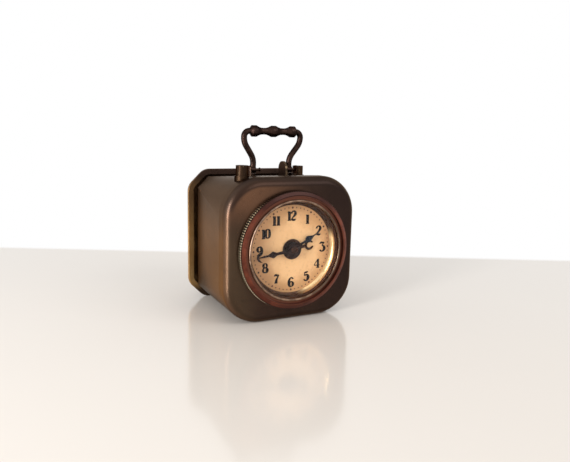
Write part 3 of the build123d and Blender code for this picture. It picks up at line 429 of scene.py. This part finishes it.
def case_finish():
    # Brown patina, darkest on the front partly by painted shade, with brass showing through low
    # on the left side under painted light
    finish = Finish("aged_case")
    across, back, up = finish.place()
    face_x, face_y, face_z = finish.facing()
    cloud = finish.noise(14, detail=5.0, rough=0.6, seed=1.0)
    streaks = finish.noise(1.1, detail=3.0, rough=0.5, stretch=(1, 1, 0.04))
    stain = finish.noise(7, detail=7.0, rough=0.7, stretch=(1, 1, 0.7), seed=9.0)
    blot = finish.noise(4, detail=6.0, rough=0.65, seed=6.0)
    grain = finish.noise(0.35, detail=4.0, rough=0.65, seed=3.0)

    on_left = finish.ramp(face_x, -0.75, -0.95)
    # Golden patch low on the left side: brass showing through, brightened by painted light from
    # the left
    brass_and_painted_light = finish.times(finish.zone(up, 40, 8), finish.zone(back, 18, 2), on_left, 0.7)
    # Painted shade on faces turned down
    shaded_underside = finish.ramp(face_z, -0.3, -0.8)
    front_round = finish.ramp(face_y, -0.1, -0.4, 0.0, 0.6)
    upper_side = finish.zone(up, 34, 52, 0.9)
    # Painted shade towards the rear of the side, next to the bell, deepest low at the rear
    shaded_rear_side = finish.zone(back, 18, 34, 0.6)
    shaded_rear_foot = finish.times(finish.zone(up, 22, 6), finish.zone(back, 14, 26))
    side = finish.layers(
        finish.patchy(cloud, colour(112, 80, 55), colour(126, 90, 60), spread=0.2),
        (finish.ramp(streaks, 0.3, 0.7, 0.0, 0.25), colour(84, 64, 46)),
        (finish.ramp(stain, 0.52, 0.66, 0.0, 0.3), colour(80, 58, 44)),
        (brass_and_painted_light, colour(140, 98, 56)),
        (shaded_underside, colour(46, 35, 31)),
        (front_round, colour(104, 82, 68)),
        (upper_side, colour(68, 54, 46)),
        (shaded_rear_side, colour(66, 52, 44)),
        (shaded_rear_foot, colour(48, 38, 33)))

    # Painted reflections of the room on the front: a warm glow top left, a greenish cast left of
    # the bezel, and painted shade over the right half and where the face turns up
    painted_glow = finish.times(finish.zone(across, 10, -22), finish.zone(up, 36, 53), 0.9)
    painted_green_reflection = finish.times(finish.zone(across, -12, -26), finish.zone(up, 50, 30), 0.8)
    shaded_right_half = finish.zone(across, 4, 26, 0.7)
    shaded_tilted_up = finish.ramp(face_z, 0.0, 0.2, 0.0, 0.85)
    front = finish.layers(
        finish.patchy(cloud, colour(50, 37, 31), colour(62, 46, 38), spread=0.2),
        (painted_glow, colour(112, 80, 60)),
        (painted_green_reflection, colour(80, 64, 49)),
        (shaded_right_half, colour(45, 33, 30)),
        (shaded_tilted_up, colour(40, 29, 25)))

    lid = finish.patchy(cloud, colour(37, 28, 25), colour(52, 40, 36), spread=0.2)
    on_lid = finish.ramp(face_z, 0.55, 0.9)
    on_front = finish.ramp(face_y, -0.5, -0.92)
    tone = finish.layers(
        side,
        (on_lid, lid),
        (on_front, front),
        (finish.ramp(blot, 0.56, 0.74, 0.0, 0.3), colour(40, 30, 27)))
    finish.set(Base_Color=tone, Metallic=0.95, Roughness=finish.mottled(grain, 0.26, 0.38),
               Specular_Tint=(0.64, 0.55, 0.48, 1))
    finish.lacquer(0.05)
    finish.bump(grain, 0.010)
    return finish.material


def bell_finish():
    # Yellow brass, dark along the top, with fine scratches across its rim
    finish = Finish("aged_bell")
    across, back, up = finish.place()
    turn = finish.calculate("ARCTAN2", finish.calculate("SUBTRACT", up, dial_centre.z), across)
    round_rim = finish.node("ShaderNodeCombineXYZ")
    finish.feed(round_rim.inputs[0], finish.times(turn, rim_radius))
    scratches = finish.noise(0.5, detail=2.0, rough=0.5, place=round_rim.outputs[0])
    cloud = finish.noise(9, detail=6.0, rough=0.62)
    grain = finish.noise(0.4, detail=4.0, rough=0.65, seed=3.0)
    tone = finish.layers(
        finish.patchy(cloud, colour(120, 90, 58), colour(154, 122, 84), spread=0.2),
        (finish.ramp(scratches, 0.45, 0.7, 0.0, 0.5), colour(92, 68, 42)))
    # Painted light brightens the rolled front edge of the rim
    lit_rim_front = finish.zone(back, 1.5, 1.1, origin=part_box("bell")[0].y)
    upper_half = finish.zone(up, 30, 48, 0.7)
    top = finish.zone(up, 51, 58)
    foot = finish.zone(up, 8, 3)
    tone = finish.layers(
        finish.blend(lit_rim_front, tone, colour(150, 112, 66), kind="SCREEN"),
        (upper_half, colour(88, 62, 45)),
        (top, colour(66, 50, 43)),
        (foot, colour(70, 54, 42)))
    finish.set(Base_Color=tone, Metallic=0.7, Roughness=finish.mottled(grain, 0.28, 0.42),
               Specular_Tint=(0.5, 0.36, 0.24, 1))
    finish.lacquer(0.05)
    finish.bump(grain, 0.012)
    return finish.material


def bezel_finish():
    # Red copper face with painted shade at its top and foot, a brass milled edge with painted
    # shade between its ridges and painted glints on their tips, and a dark groove
    finish = Finish("bezel_copper")
    across, back, up = finish.place()
    face_y = finish.facing()[1]
    radius = finish.from_axis()
    cloud = finish.noise(5, detail=5.0, rough=0.6)
    grain = finish.noise(0.4, detail=3.0, rough=0.6, seed=2.0)
    # Painted shade darkens the face at its top and foot, most along the upper arc
    shaded_middle = finish.zone(finish.calculate("ABSOLUTE", across), 16, 4, 0.75)
    shaded_upper_arc = finish.zone(up, 41, 51, 0.85)
    face = finish.layers(
        finish.patchy(cloud, colour(88, 44, 32), colour(122, 64, 46)),
        (shaded_middle, colour(66, 36, 29)),
        (shaded_upper_arc, colour(44, 24, 20)))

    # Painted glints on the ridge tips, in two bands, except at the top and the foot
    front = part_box("bezel_ring")[0].y
    bands = finish.larger(finish.zone(back, 1.9, 1.5, origin=front),
                          finish.zone(back, 2.2, 2.5, 0.6, origin=front))
    below_top = finish.zone(up, 52, 45)
    above_foot = finish.zone(up, 4, 14)
    ridge_tip = finish.zone(radius, 24.52, 24.58)
    painted_glint = finish.times(bands, below_top, above_foot, ridge_tip)
    front_end = finish.ramp(face_y, -0.25, -0.5)
    crest = finish.layers(
        finish.blend(painted_glint, colour(54, 39, 30), colour(238, 216, 180)),
        (front_end, colour(66, 36, 28)))
    # Painted shade down the flanks, into the valleys between the ridges
    shaded_flank = finish.zone(radius, 24.40, 24.52)
    ridge = finish.blend(shaded_flank, colour(26, 18, 15), crest)
    milled_edge = finish.zone(radius, 24.22, 24.32)
    groove = finish.zone(radius, 22.7, 22.5)
    tone = finish.layers(
        face,
        (milled_edge, ridge),
        (groove, colour(98, 58, 44)))

    # Where the glints are painted the metal is matt, so that the ridges don't mirror the dark
    # case
    off_front = finish.ramp(face_y, -0.5, -0.25)
    matt = finish.times(finish.zone(radius, 24.36, 24.52), off_front, painted_glint)
    finish.set(Base_Color=tone, Metallic=finish.ramp(matt, 0.0, 1.0, 0.9, 0.0),
               Roughness=finish.mottled(grain, 0.26, 0.4))
    finish.lacquer(0.1)
    finish.bump(grain, 0.01)
    return finish.material


def sight_finish():
    # A bright bead beside the dark floor of the groove
    finish = Finish("sight_bead")
    across, back, _ = finish.place()
    wear = finish.noise(3, detail=5.0, rough=0.65)
    # Painted shade dims the bead on its right side
    shaded_right_side = finish.zone(across, 6, 17, 0.8)
    groove_floor = finish.zone(back, 0.45, 0.8, origin=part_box("sight_ring")[0].y)
    tone = finish.layers(
        finish.patchy(wear, colour(104, 82, 68), colour(158, 132, 112)),
        (shaded_right_side, colour(92, 76, 64)),
        (groove_floor, colour(100, 64, 50)))
    finish.set(Base_Color=tone, Metallic=1.0, Roughness=0.34)
    finish.bump(wear, 0.004)
    return finish.material


def reflector_finish():
    # A polished hollow lip round the dial, with a painted highlight on its lower right and
    # painted shade over its upper and left parts, and a brown wall from there to the glass
    finish = Finish("dial_reflector")
    across, back, up = finish.place()
    stain = finish.noise(3, detail=5.0, rough=0.6)
    # Painted shade over the upper and left parts of the lip; the bright tone of the rest is a
    # painted highlight
    upper_half = finish.zone(up, 3, 9, origin=dial_centre.z)
    shaded_left_half = finish.zone(across, 10, 2)
    dull_and_shaded = finish.larger(upper_half, shaded_left_half)
    lip = finish.layers(
        finish.patchy(stain, colour(216, 178, 124), colour(238, 202, 148)),
        (dull_and_shaded, colour(66, 42, 27)))
    wall = finish.patchy(stain, colour(66, 42, 31), colour(86, 56, 42))
    lip_edge = dial_front - lip_depth
    tone = finish.blend(finish.zone(back, 0, 0.15, origin=lip_edge), wall, lip)
    dull_and_shaded = finish.larger(dull_and_shaded, finish.zone(back, 0.15, 0, origin=lip_edge))
    finish.set(Base_Color=tone, Metallic=0.85, Roughness=finish.ramp(dull_and_shaded, 0.0, 1.0, 0.3, 0.5))
    return finish.material


def dial_finish():
    # Old cream enamel, warmer and stained towards its edge, with painted shade over its left
    # half and at its right edge
    finish = Finish("dial_cream")
    across = finish.place()[0]
    cloud = finish.noise(7, detail=6.0, rough=0.6)
    speck = finish.noise(1.2, detail=5.0, rough=0.7, seed=2.0)
    edge = finish.calculate("ADD", finish.zone(finish.from_axis(), 9, 18.5),
                            finish.ramp(cloud, 0.3, 0.7, -0.3, 0.3))
    # Painted shade on the left half and at the right edge
    shaded_left_half = finish.zone(across, -4, -18, 0.5)
    shaded_right_edge = finish.zone(across, 15, 18.5, 0.6)
    tone = finish.layers(
        finish.blend(finish.ramp(edge, 0.0, 1.0), colour(246, 196, 140), colour(214, 160, 106)),
        (shaded_left_half, colour(190, 138, 98)),
        (shaded_right_edge, colour(160, 114, 78)),
        (finish.ramp(speck, 0.52, 0.78, 0.0, 0.4), colour(178, 122, 84)))
    finish.set(Base_Color=tone, Metallic=0.0, Roughness=0.5)
    finish.bump(cloud, 0.01)
    return finish.material


def glass_finish():
    # Clear glass that lets the light of the room through to the dial
    finish = Finish("clear_glass")
    finish.set(Base_Color=white, Transmission_Weight=1.0, Roughness=0.02, IOR=glass_index)
    path = finish.node("ShaderNodeLightPath")
    passing = finish.larger(path.outputs["Is Shadow Ray"], path.outputs["Is Diffuse Ray"])
    finish.join(passing, finish.shader, finish.node("ShaderNodeBsdfTransparent"),
                "Material Output")
    return finish.material


def ink_finish(name, dark, faded):
    finish = Finish(name)
    fade = finish.noise(1.5, detail=4.0, rough=0.6)
    finish.set(Base_Color=finish.blend(finish.ramp(fade, 0.4, 0.75), dark, faded), Roughness=0.5,
               Specular_IOR_Level=0.15)
    return finish.material


def alarm_hand_finish():
    # Blued steel, worn to dark brown round its boss
    finish = Finish("alarm_blue")
    cloud = finish.noise(2, detail=5.0, rough=0.6)
    boss = finish.patchy(cloud, colour(34, 25, 23), colour(56, 42, 37))
    blued = finish.patchy(cloud, colour(36, 42, 52), colour(56, 60, 68))
    past_boss = finish.zone(finish.from_axis(), 4.4, 5.4)
    tone = finish.blend(past_boss, boss, blued)
    finish.set(Base_Color=tone, Metallic=1.0, Roughness=0.34)
    return finish.material


def paddle_finish():
    # Dark flat sides with the rim rubbed bright and lighter still by a painted highlight
    finish = Finish("paddle_brass")
    flat = finish.ramp(finish.calculate("ABSOLUTE", finish.facing()[0]), 0.3, 0.7)
    wear = finish.noise(1.2, detail=5.0, rough=0.6)
    # The rim's tone is partly wear and partly a painted highlight
    worn_and_lit_rim = finish.patchy(wear, colour(58, 46, 36), colour(112, 94, 74))
    finish.set(Base_Color=finish.blend(flat, worn_and_lit_rim, colour(58, 45, 40)), Metallic=1.0,
               Roughness=0.36, Specular_Tint=(0.66, 0.56, 0.5, 1))
    finish.bump(wear, 0.01)
    return finish.material


def floor_finish():
    # Pale glossy table top that turns white behind the clock, where the wall would stand
    finish = Finish("pale_floor")
    finish.set(Base_Color=colour(252, 244, 235), Roughness=0.13, IOR=1.75)
    across, back, _ = finish.place()
    ahead = finish.calculate("ADD", finish.times(across, math.sin(camera_yaw)),
                             finish.times(back, math.cos(camera_yaw)))
    wall = (wall_distance + camera_place.x * math.sin(camera_yaw)
            + camera_place.y * math.cos(camera_yaw))
    behind = finish.ramp(ahead, wall - wall_softness, wall + wall_softness)
    blank = finish.node("ShaderNodeEmission")
    finish.feed(blank.inputs["Color"], white)
    finish.join(finish.times(finish.sees_white(), behind), finish.shader, blank,
                "Material Output")
    return finish.material


def paint(finish, *names):
    for name in names:
        slots = frame["nodes"][name].data.materials
        slots.clear()
        slots.append(finish)


def finish_clock():
    paint(case_finish(), "case_body")
    paint(bell_finish(), "bell")
    paint(bezel_finish(), "bezel_ring")
    paint(sight_finish(), "sight_ring")
    paint(reflector_finish(), "dial_ring")
    paint(dial_finish(), "dial_plate")
    paint(paddle_finish(), "alarm_stop_lever")
    paint(aged_metal("handle_brown", colour(36, 25, 22), colour(56, 40, 34), patch=3,
                     roughness=(0.3, 0.44), relief=0.03, worn=colour(94, 70, 58), coat=0.05,
                     edge=dark_edge),
          "handle_bail", "handle_grip")
    paint(aged_metal("post_brass", colour(40, 29, 23), colour(64, 48, 35), patch=2,
                     roughness=(0.3, 0.44), relief=0.02, worn=colour(150, 128, 92),
                     worn_share=0.64, stretch=(1, 1, 0.12), edge=dark_edge),
          "post_left", "post_right")
    paint(aged_metal("lug_brown", colour(40, 30, 26), colour(70, 54, 44), patch=2,
                     roughness=(0.32, 0.46), relief=0.02, worn=colour(128, 108, 88),
                     edge=dark_edge),
          "handle_bracket_left", "handle_bracket_right", "hinge_pins")
    paint(aged_metal("minute_brown", colour(38, 29, 29), colour(56, 43, 40), patch=2,
                     roughness=(0.3, 0.42)), "minute_hand")
    paint(aged_metal("hour_brown", colour(50, 36, 30), colour(72, 50, 42), patch=2,
                     roughness=(0.3, 0.42)), "hour_hand")
    paint(alarm_hand_finish(), "alarm_hand")
    paint(aged_metal("cap_brown", colour(50, 35, 30), colour(84, 58, 48), patch=1,
                     roughness=(0.16, 0.3), worn=colour(150, 130, 116), worn_share=0.66),
          "hand_cap")


def finish_movement():
    # The movement and the fittings at the back, each by its slot in the record
    by_slot = {
        "plate_brass": aged_metal("plate_brass", colour(138, 106, 62), colour(180, 144, 90),
                                  patch=6, roughness=(0.24, 0.38), worn=colour(104, 78, 50),
                                  coat=0.1),
        "steel": aged_metal("plain_steel", colour(112, 108, 104), colour(156, 152, 146),
                            patch=4, roughness=(0.25, 0.38)),
    }
    for row in frame["record"]["subparts"]:
        if row["material_slot"] in by_slot:
            paint(by_slot[row["material_slot"]], row["node"])


def add_floor():
    bm = bmesh.new()
    bmesh.ops.create_grid(bm, x_segments=1, y_segments=1, size=floor_size / 2)
    new_object("floor", bm, floor_finish())


def add_lamps():
    for name, (place, size, watts) in lamps.items():
        lamp = bpy.data.lights.new(name, "AREA")
        lamp.shape = "RECTANGLE"
        lamp.size, lamp.size_y = size
        lamp.energy = watts
        holder = bpy.data.objects.new(name, lamp)
        holder.location = place
        aim = lamp_target - Vector(place)
        holder.rotation_euler = aim.to_track_quat("-Z", "Y").to_euler()
        bpy.context.scene.collection.objects.link(holder)


def add_room_light():
    # Soft light all round, which the camera, gloss and glass see as plain white
    world = bpy.data.worlds.new("room")
    bpy.context.scene.world = world
    world.use_nodes = True
    room = Wiring(world.node_tree)
    soft = room.tree.nodes["Background"]
    room.feed(soft.inputs["Color"], room_tint)
    room.feed(soft.inputs["Strength"], room_strength)
    blank = room.node("ShaderNodeBackground")
    room.feed(blank.inputs["Color"], white)
    room.join(room.sees_white(), soft, blank, "World Output")


def add_camera():
    ahead = Vector((math.sin(camera_yaw) * math.cos(camera_pitch),
                    math.cos(camera_yaw) * math.cos(camera_pitch), math.sin(camera_pitch)))
    right = Vector((math.cos(camera_yaw), -math.sin(camera_yaw), 0))
    up = right.cross(ahead)
    tilted_right = math.cos(camera_roll) * right + math.sin(camera_roll) * up
    shaded_tilted_up = math.cos(camera_roll) * up - math.sin(camera_roll) * right
    turn = Matrix((tilted_right, shaded_tilted_up, -ahead)).transposed().to_4x4()
    camera = bpy.data.cameras.new("camera")
    camera.sensor_width = sensor_width
    camera.lens = sensor_width * focal_pixels / image_width
    camera.clip_start, camera.clip_end = camera_reach
    holder = bpy.data.objects.new("camera", camera)
    holder.matrix_world = Matrix.Translation(camera_place) @ turn
    bpy.context.scene.collection.objects.link(holder)
    bpy.context.scene.camera = holder


finish_clock()
finish_movement()
dial_glass(glass_finish())
dial_numerals(ink_finish("numeral_ink", colour(14, 9, 9), colour(32, 22, 19)))
dial_dots(ink_finish("dot_ink", colour(58, 38, 34), colour(132, 78, 58)))
add_floor()
add_lamps()
add_room_light()
add_camera()
bpy.context.scene.view_settings.view_transform = "Standard"
